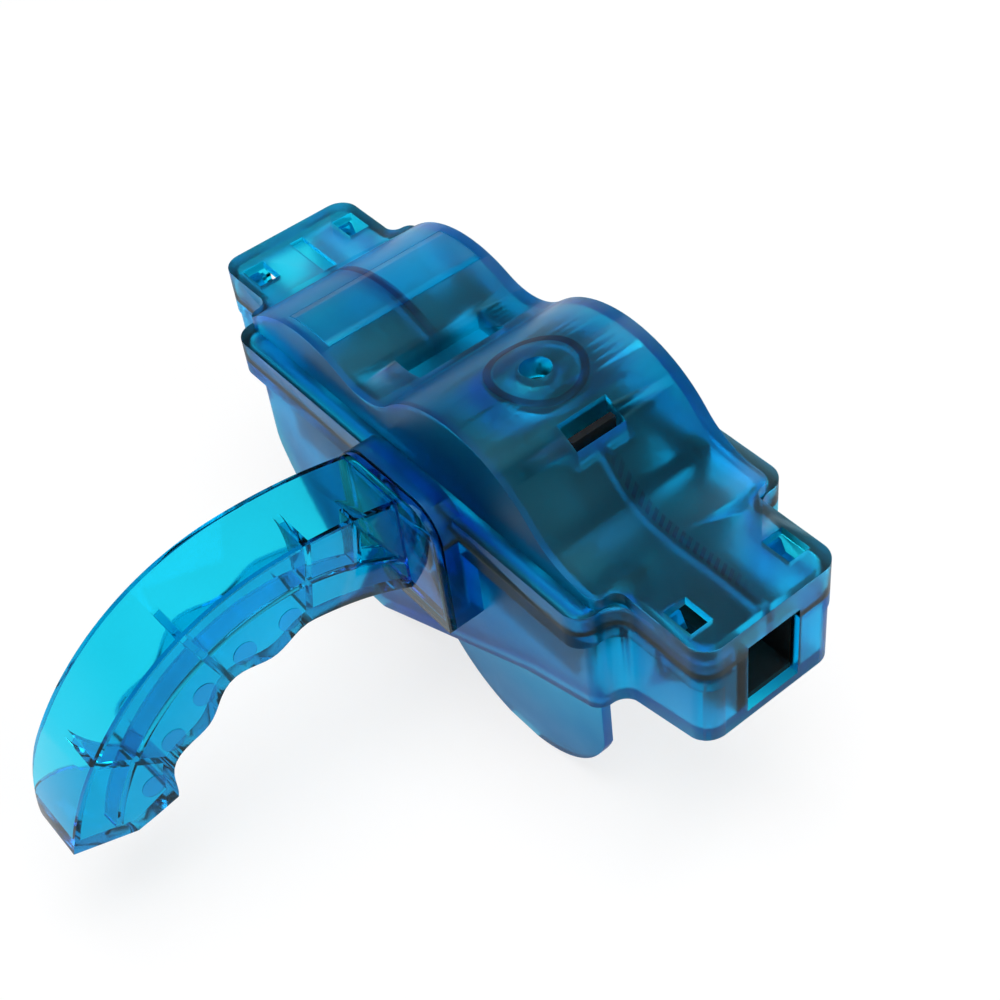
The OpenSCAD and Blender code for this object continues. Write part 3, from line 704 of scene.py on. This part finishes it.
def new_tree(name, inputs):
    """An empty geometry tree with named inputs; gives the tree and its input sockets."""
    t = bpy.data.node_groups.new(name, "GeometryNodeTree")
    face = t.interface
    face.new_socket("Geometry", in_out="INPUT", socket_type="NodeSocketGeometry")
    face.new_socket("Geometry", in_out="OUTPUT", socket_type="NodeSocketGeometry")
    for label, kind in inputs.items():
        face.new_socket(label, in_out="INPUT", socket_type="NodeSocket" + kind)
    face.new_socket("Material", in_out="INPUT", socket_type="NodeSocketMaterial")
    return t, add(t, "NodeGroupInput", (-1800, 0)).outputs


def end_tree(t, given, parts):
    """Joins the parts, makes instances real, sets the material and ends the tree."""
    join = add(t, "GeometryNodeJoinGeometry", (450, 0))
    for part in parts:
        t.links.new(part, join.inputs[0])
    real = add(t, "GeometryNodeRealizeInstances", (600, 0))
    t.links.new(join.outputs[0], real.inputs[0])
    paint = add(t, "GeometryNodeSetMaterial", (800, 0))
    t.links.new(real.outputs[0], paint.inputs["Geometry"])
    t.links.new(given["Material"], paint.inputs["Material"])
    end = add(t, "NodeGroupOutput", (1000, 0))
    t.links.new(paint.outputs[0], end.inputs[0])
    return t


def strands(t, given, count, root, way, length):
    """Three-sided tapering strands on the given roots, each a little different in length."""
    points = add(t, "GeometryNodePoints", (-100, 200))
    t.links.new(count, points.inputs["Count"])
    t.links.new(root, points.inputs["Position"])
    strand = add(t, "GeometryNodeMeshCone", (-100, -100), fill_type="TRIANGLE_FAN")
    strand.inputs["Vertices"].default_value = 3
    t.links.new(calc(t, "MULTIPLY", given["Strand Radius"], 0.55), strand.inputs["Radius Top"])
    t.links.new(given["Strand Radius"], strand.inputs["Radius Bottom"])
    t.links.new(length, strand.inputs["Depth"])
    aim = add(t, "FunctionNodeAlignRotationToVector", (-100, -350), axis="Z")
    t.links.new(way, aim.inputs["Vector"])
    inst = add(t, "GeometryNodeInstanceOnPoints", (200, 100))
    t.links.new(points.outputs[0], inst.inputs["Points"])
    t.links.new(strand.outputs["Mesh"], inst.inputs["Instance"])
    t.links.new(aim.outputs[0], inst.inputs["Rotation"])
    t.links.new(vector(t, 1.0, 1.0, chance(t, given["Seed"], 0.93, 1.0, 53)), inst.inputs["Scale"])
    return inst.outputs[0]


STRAND_INPUTS = {
    "Rows": "Int",
    "Tufts in a Row": "Int",
    "Strands in a Tuft": "Int",
    "Strand Radius": "Float",
    "Tuft Radius": "Float",
    "Lean": "Float",
    "Seed": "Int",
}


def tuft_places(t, given):
    """For each strand its row, place in the row and offsets in the tuft, and the strand count."""
    index = add(t, "GeometryNodeInputIndex", (-1800, -300)).outputs[0]
    seed = given["Seed"]
    in_tuft, in_row = given["Strands in a Tuft"], given["Tufts in a Row"]
    # Half is added so that a division that comes out whole isn't rounded down
    tuft = calc(t, "FLOOR", calc(t, "DIVIDE", calc(t, "ADD", index, 0.5), in_tuft))
    row = calc(t, "FLOOR", calc(t, "DIVIDE", calc(t, "ADD", tuft, 0.5), in_row))
    place = calc(t, "SUBTRACT", tuft, calc(t, "MULTIPLY", row, in_row))
    reach = calc(t, "POWER", chance(t, seed, 0.0, 1.0, 11), 0.5)
    off = calc(t, "MULTIPLY", given["Tuft Radius"], reach)
    turn = chance(t, seed, 0.0, 2 * math.pi, 23)
    side = calc(t, "MULTIPLY", off, calc(t, "COSINE", turn))
    along = calc(t, "MULTIPLY", off, calc(t, "SINE", turn))
    count = calc(t, "MULTIPLY", calc(t, "MULTIPLY", given["Rows"], in_row), in_tuft)
    return row, place, side, along, count


def lean_vector(t, given, share):
    """A small random lean, cut down along Y by share."""
    parts = [
        calc(t, "MULTIPLY", chance(t, given["Seed"], -1.0, 1.0, salt), given["Lean"])
        for salt in (37, 41, 43)
    ]
    return vector_calc(t, "MULTIPLY", vector(t, *parts), (1.0, share, 1.0))


def held_between(t, value, low, high):
    """Keeps a value between two others."""
    return calc(t, "MINIMUM", calc(t, "MAXIMUM", value, low), high)


def ring_tree():
    """Geometry nodes: a sleeve about Y with rows of strand tufts standing on it."""
    t, given = new_tree(
        "bristle_ring",
        {
            "Centre": "Vector",
            "Sleeve Radius": "Float",
            "Tip Radius": "Float",
            "From Y": "Float",
            "To Y": "Float",
            **STRAND_INPUTS,
        },
    )
    row, place, side, along, count = tuft_places(t, given)
    # Every other row is turned by half a step
    odd = calc(t, "MULTIPLY", calc(t, "MODULO", row, 2.0), 0.5)
    step = calc(t, "DIVIDE", 2 * math.pi, given["Tufts in a Row"])
    angle = calc(t, "MULTIPLY", calc(t, "ADD", place, odd), step)
    angle = calc(t, "ADD", angle, calc(t, "DIVIDE", side, given["Sleeve Radius"]))
    width = calc(t, "SUBTRACT", given["To Y"], given["From Y"])
    pitch = calc(t, "DIVIDE", width, given["Rows"])
    y = calc(t, "ADD", given["From Y"], calc(t, "MULTIPLY", calc(t, "ADD", row, 0.5), pitch))
    margin = calc(t, "ADD", given["Strand Radius"], 0.1 * MM)
    y = held_between(
        t,
        calc(t, "ADD", y, along),
        calc(t, "ADD", given["From Y"], margin),
        calc(t, "SUBTRACT", given["To Y"], margin),
    )
    out = vector(t, calc(t, "SINE", angle), 0.0, calc(t, "COSINE", angle))
    flat = vector_calc(t, "MULTIPLY", given["Centre"], (1.0, 0.0, 1.0))
    root = add(t, "ShaderNodeVectorMath", (-400, 0), operation="SCALE")
    t.links.new(out, root.inputs[0])
    t.links.new(calc(t, "SUBTRACT", given["Sleeve Radius"], 0.2 * MM), root.inputs["Scale"])
    root = vector_calc(t, "ADD", vector_calc(t, "ADD", root.outputs[0], vector(t, y=y)), flat)
    way = vector_calc(t, "ADD", out, lean_vector(t, given, 0.35))
    length = calc(t, "SUBTRACT", given["Tip Radius"], given["Sleeve Radius"])
    tufts = strands(t, given, count, root, way, length)

    sleeve = add(t, "GeometryNodeMeshCylinder", (-100, 500), fill_type="NGON")
    sleeve.inputs["Vertices"].default_value = 36
    t.links.new(given["Sleeve Radius"], sleeve.inputs["Radius"])
    t.links.new(width, sleeve.inputs["Depth"])
    middle = calc(t, "MULTIPLY", calc(t, "ADD", given["To Y"], given["From Y"]), 0.5)
    turned = add(t, "GeometryNodeTransform", (200, 500))
    t.links.new(sleeve.outputs["Mesh"], turned.inputs["Geometry"])
    t.links.new(vector_calc(t, "ADD", vector(t, y=middle), flat), turned.inputs["Translation"])
    turned.inputs["Rotation"].default_value = (math.pi / 2, 0, 0)
    return end_tree(t, given, (tufts, turned.outputs[0]))


def patch_tree():
    """Geometry nodes: a flat block of strand tufts that all point along Y."""
    t, given = new_tree(
        "bristle_patch",
        {"Low": "Vector", "Size": "Vector", "Side": "Float", **STRAND_INPUTS},
    )
    row, place, side, along, count = tuft_places(t, given)
    size = add(t, "ShaderNodeSeparateXYZ", (-1300, 200))
    t.links.new(given["Size"], size.inputs[0])
    ends = []
    for n, number, offset, span in (
        (row, "Rows", side, size.outputs["X"]),
        (place, "Tufts in a Row", along, size.outputs["Z"]),
    ):
        pitch = calc(t, "DIVIDE", span, given[number])
        at = calc(t, "ADD", calc(t, "MULTIPLY", calc(t, "ADD", n, 0.5), pitch), offset)
        ends.append(
            held_between(
                t, at, given["Strand Radius"], calc(t, "SUBTRACT", span, given["Strand Radius"])
            )
        )
    # The strands start on the block: at low Y for side 1, at high Y for side -1
    start = calc(t, "MULTIPLY", calc(t, "SUBTRACT", 1.0, given["Side"]), 0.5)
    start = calc(t, "MULTIPLY", start, size.outputs["Y"])
    root = vector_calc(t, "ADD", given["Low"], vector(t, ends[0], start, ends[1]))
    straight = vector(t, 0.0, given["Side"], 0.0)
    lean = vector_calc(t, "MULTIPLY", lean_vector(t, given, 0.0), (0.5, 0.0, 0.5))
    tufts = strands(
        t, given, count, root, vector_calc(t, "ADD", straight, lean), size.outputs["Y"]
    )
    return end_tree(t, given, (tufts,))


def mark_tree():
    """Geometry nodes: low round ejector marks on points spread along an arc about X."""
    t, given = new_tree(
        "ejector_marks",
        {
            "Centre": "Vector",
            "Arc Radius": "Float",
            "First Angle": "Float",
            "Step": "Float",
            "Count": "Int",
            "Mark Radius": "Float",
            "Mark Height": "Float",
        },
    )
    index = add(t, "GeometryNodeInputIndex", (-1800, -300)).outputs[0]
    angle = calc(t, "ADD", given["First Angle"], calc(t, "MULTIPLY", index, given["Step"]))
    at = vector(
        t,
        0.0,
        calc(t, "MULTIPLY", calc(t, "COSINE", angle), given["Arc Radius"]),
        calc(t, "MULTIPLY", calc(t, "SINE", angle), given["Arc Radius"]),
    )
    points = add(t, "GeometryNodePoints", (-100, 200))
    t.links.new(given["Count"], points.inputs["Count"])
    t.links.new(vector_calc(t, "ADD", at, given["Centre"]), points.inputs["Position"])
    disc = add(t, "GeometryNodeMeshCylinder", (-100, -100), fill_type="NGON")
    disc.inputs["Vertices"].default_value = 40
    t.links.new(given["Mark Radius"], disc.inputs["Radius"])
    t.links.new(given["Mark Height"], disc.inputs["Depth"])
    inst = add(t, "GeometryNodeInstanceOnPoints", (200, 100))
    t.links.new(points.outputs[0], inst.inputs["Points"])
    t.links.new(disc.outputs["Mesh"], inst.inputs["Instance"])
    inst.inputs["Rotation"].default_value = (0, math.pi / 2, 0)
    return end_tree(t, given, (inst.outputs[0],))


def grow(tree, name, values):
    """Runs a geometry tree on an empty mesh and returns the result as a plain object."""
    seed = bpy.data.objects.new(name + "_source", bpy.data.meshes.new(name + "_source"))
    bpy.context.scene.collection.objects.link(seed)
    mod = seed.modifiers.new("made", "NODES")
    mod.node_group = tree
    ids = {
        s.name: s.identifier
        for s in tree.interface.items_tree
        if s.item_type == "SOCKET" and s.in_out == "INPUT"
    }
    for key, value in values.items():
        mod[ids[key]] = value
    seed.update_tag()
    graph = bpy.context.evaluated_depsgraph_get()
    me = bpy.data.meshes.new_from_object(seed.evaluated_get(graph))
    bpy.data.objects.remove(seed)
    if not me.polygons:
        raise RuntimeError(name + " came out empty")
    me.name = name
    o = bpy.data.objects.new(name, me)
    bpy.context.scene.collection.objects.link(o)
    return o


# ---------------------------------------------------------------- brushes and marks


class CHAINCLEANER_OT_brushes(bpy.types.Operator):
    """Makes the four round brushes"""

    bl_idname = "chaincleaner.brushes"
    bl_label = "Round brushes"

    def execute(self, context):
        p = context.scene.chain_cleaner_brushes
        tree = ring_tree()
        material = nylon("nylon_bristle", p.nylon_colour)
        for i, (node, hub, body, rows, tufts) in enumerate(RINGS):
            low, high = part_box(node)
            hub_low, hub_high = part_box(hub)
            o = grow(
                tree,
                node + "_tufts",
                {
                    "Centre": tuple((low + high) / 2),
                    "Sleeve Radius": (hub_high.x - hub_low.x) / 2 + p.sleeve_wall,
                    "Tip Radius": (high.x - low.x) / 2,
                    "From Y": low.y,
                    "To Y": high.y,
                    "Rows": rows,
                    "Tufts in a Row": tufts,
                    "Strands in a Tuft": p.strands,
                    "Strand Radius": p.strand_radius,
                    "Tuft Radius": p.tuft_radius,
                    "Lean": p.lean,
                    "Seed": 100 + i,
                    "Material": material,
                },
            )
            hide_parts(node)
            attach(o, body)
        return {"FINISHED"}


class CHAINCLEANER_OT_side_brushes(bpy.types.Operator):
    """Makes the two fixed side brushes"""

    bl_idname = "chaincleaner.side_brushes"
    bl_label = "Side brushes"

    def execute(self, context):
        p = context.scene.chain_cleaner_brushes
        tree = patch_tree()
        material = bpy.data.materials["nylon_bristle"]
        sides = {"left_side_bristles": 1.0, "right_side_bristles": -1.0}
        for i, (node, side) in enumerate(sides.items()):
            low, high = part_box(node)
            o = grow(
                tree,
                node + "_tufts",
                {
                    "Low": tuple(low),
                    "Size": tuple(high - low),
                    "Side": side,
                    "Rows": SIDE_TUFTS,
                    "Tufts in a Row": SIDE_TUFTS,
                    "Strands in a Tuft": p.strands,
                    "Strand Radius": p.strand_radius,
                    "Tuft Radius": p.tuft_radius * 0.6,
                    "Lean": p.lean,
                    "Seed": 200 + i,
                    "Material": material,
                },
            )
            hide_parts(node)
            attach(o, "tank_body")
        return {"FINISHED"}


class CHAINCLEANER_OT_marks(bpy.types.Operator):
    """Makes the round ejector marks on the handle's web"""

    bl_idname = "chaincleaner.marks"
    bl_label = "Ejector marks"

    def execute(self, context):
        p = context.scene.chain_cleaner_shells
        o = grow(
            mark_tree(),
            "handle_ejector_marks",
            {
                "Centre": BEND_MIDDLE,
                "Arc Radius": MARK_ARC,
                "First Angle": FIRST_MARK,
                "Step": MARK_STEP,
                "Count": MARKS,
                "Mark Radius": p.mark_radius,
                "Mark Height": MARK_HEIGHT,
                "Material": bpy.data.materials["clear_blue_handle"],
            },
        )
        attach(o, "handle_body")
        return {"FINISHED"}


# ---------------------------------------------------------------- stage, panel and start


class CHAINCLEANER_OT_stage(bpy.types.Operator):
    """Makes the floor, the lamps, the room light and the camera"""

    bl_idname = "chaincleaner.stage"
    bl_label = "Stage"

    def execute(self, context):
        p = context.scene.chain_cleaner_stage
        scene = context.scene
        scene.view_settings.view_transform = "Standard"
        self.floor(p)
        self.room(scene, p)
        self.lamps(p)
        self.camera(scene)
        return {"FINISHED"}

    @staticmethod
    def seen(t, at):
        """1 for camera, glossy and transmission rays."""
        path = add(t, "ShaderNodeLightPath", (at[0] - 600, at[1]))
        first = add(t, "ShaderNodeMath", (at[0] - 350, at[1]), operation="MAXIMUM")
        t.links.new(path.outputs["Is Camera Ray"], first.inputs[0])
        t.links.new(path.outputs["Is Glossy Ray"], first.inputs[1])
        both = add(t, "ShaderNodeMath", (at[0] - 150, at[1]), operation="MAXIMUM")
        t.links.new(first.outputs[0], both.inputs[0])
        t.links.new(path.outputs["Is Transmission Ray"], both.inputs[1])
        return both.outputs[0]

    def floor(self, p):
        bm = bmesh.new()
        bmesh.ops.create_grid(bm, x_segments=1, y_segments=1, size=p.floor_size / 2)
        bmesh.ops.translate(bm, vec=(0, 0, GROUND), verts=bm.verts)
        o = finish_mesh(bm, "floor")
        m = bpy.data.materials.new("pale_floor")
        m.use_nodes = True
        t = m.node_tree
        t.nodes.clear()
        out = add(t, "ShaderNodeOutputMaterial", (600, 0))
        matt = add(t, "ShaderNodeBsdfDiffuse", (0, 100))
        matt.inputs["Color"].default_value = (0.9, 0.9, 0.9, 1)
        white = add(t, "ShaderNodeEmission", (0, -100))
        mix = add(t, "ShaderNodeMixShader", (300, 0))
        part = add(t, "ShaderNodeMath", (0, 300), operation="MULTIPLY")
        part.inputs[1].default_value = p.floor_white
        t.links.new(self.seen(t, (-200, 300)), part.inputs[0])
        t.links.new(part.outputs[0], mix.inputs["Fac"])
        t.links.new(matt.outputs[0], mix.inputs[1])
        t.links.new(white.outputs[0], mix.inputs[2])
        t.links.new(mix.outputs[0], out.inputs["Surface"])
        give(o, m)

    def room(self, scene, p):
        w = bpy.data.worlds.new("white_room")
        w.use_nodes = True
        t = w.node_tree
        t.nodes.clear()
        out = add(t, "ShaderNodeOutputWorld", (600, 0))
        light = add(t, "ShaderNodeBackground", (300, 0))
        light.inputs["Color"].default_value = (1, 1, 1, 1)
        way = add(t, "ShaderNodeTexCoord", (-700, 0))
        split = add(t, "ShaderNodeSeparateXYZ", (-500, 0))
        rise = spread(t, split.outputs["Z"], (-200, 0), p.horizon_light, p.ceiling_light, 0.12, 0.5)
        rise.interpolation_type = "SMOOTHSTEP"
        t.links.new(way.outputs["Generated"], split.inputs[0])
        t.links.new(rise.outputs["Result"], light.inputs["Strength"])
        t.links.new(light.outputs[0], out.inputs["Surface"])
        scene.world = w

    def lamps(self, p):
        for name, at, size, share in LAMPS:
            data = bpy.data.lights.new(name, "AREA")
            data.shape = "SQUARE"
            data.size = size
            data.energy = p.lamp_power * share
            o = bpy.data.objects.new(name, data)
            o.location = at
            o.rotation_euler = (-Vector(at)).to_track_quat("-Z", "Y").to_euler()
            bpy.context.scene.collection.objects.link(o)

    def camera(self, scene):
        data = bpy.data.cameras.new("camera")
        data.lens = LENS
        data.sensor_width = 36.0
        data.clip_start = 0.01
        o = bpy.data.objects.new("camera", data)
        level = math.cos(ABOVE)
        back = Vector((math.sin(AROUND) * level, -math.cos(AROUND) * level, math.sin(ABOVE)))
        right = (-back).cross(Vector((0, 0, 1))).normalized()
        up = right.cross(-back)
        x = math.cos(ROLL) * right + math.sin(ROLL) * up
        y = -math.sin(ROLL) * right + math.cos(ROLL) * up
        m = Matrix((x, y, back)).transposed().to_4x4()
        m.translation = Vector(CAMERA_PLACE)
        o.matrix_world = m
        scene.collection.objects.link(o)
        scene.camera = o


class CHAINCLEANER_PT_panel(bpy.types.Panel):
    """Lists the pieces and their sizes and colours"""

    bl_idname = "CHAINCLEANER_PT_panel"
    bl_label = "Chain Cleaner"
    bl_space_type = "VIEW_3D"
    bl_region_type = "UI"
    bl_category = "Chain Cleaner"

    def draw(self, context):
        s = context.scene
        for title, group, makers in (
            (
                "Shells",
                s.chain_cleaner_shells,
                ("chaincleaner.shells", "chaincleaner.marks"),
            ),
            (
                "Brushes",
                s.chain_cleaner_brushes,
                (
                    "chaincleaner.mouldings",
                    "chaincleaner.brushes",
                    "chaincleaner.side_brushes",
                ),
            ),
            ("Stage", s.chain_cleaner_stage, ("chaincleaner.stage",)),
        ):
            box = self.layout.box()
            box.label(text=title)
            for prop in group.bl_rna.properties:
                if prop.identifier not in ("rna_type", "name"):
                    box.prop(group, prop.identifier)
            for maker in makers:
                box.operator(maker)


GROUPS = {
    "chain_cleaner_shells": ChainCleanerShells,
    "chain_cleaner_brushes": ChainCleanerBrushes,
    "chain_cleaner_stage": ChainCleanerStage,
}
CLASSES = (
    CHAINCLEANER_OT_shells,
    CHAINCLEANER_OT_mouldings,
    CHAINCLEANER_OT_brushes,
    CHAINCLEANER_OT_side_brushes,
    CHAINCLEANER_OT_marks,
    CHAINCLEANER_OT_stage,
    CHAINCLEANER_PT_panel,
)


def register():
    for name, group in GROUPS.items():
        bpy.utils.register_class(group)
        setattr(bpy.types.Scene, name, PointerProperty(type=group))
    for c in CLASSES:
        bpy.utils.register_class(c)


def unregister():
    for c in reversed(CLASSES):
        bpy.utils.unregister_class(c)
    for name, group in GROUPS.items():
        delattr(bpy.types.Scene, name)
        bpy.utils.unregister_class(group)


def main():
    register()
    bpy.ops.chaincleaner.shells()
    bpy.ops.chaincleaner.mouldings()
    bpy.ops.chaincleaner.brushes()
    bpy.ops.chaincleaner.side_brushes()
    bpy.ops.chaincleaner.marks()
    bpy.ops.chaincleaner.stage()
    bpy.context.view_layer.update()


if __name__ == "__main__":
    main()
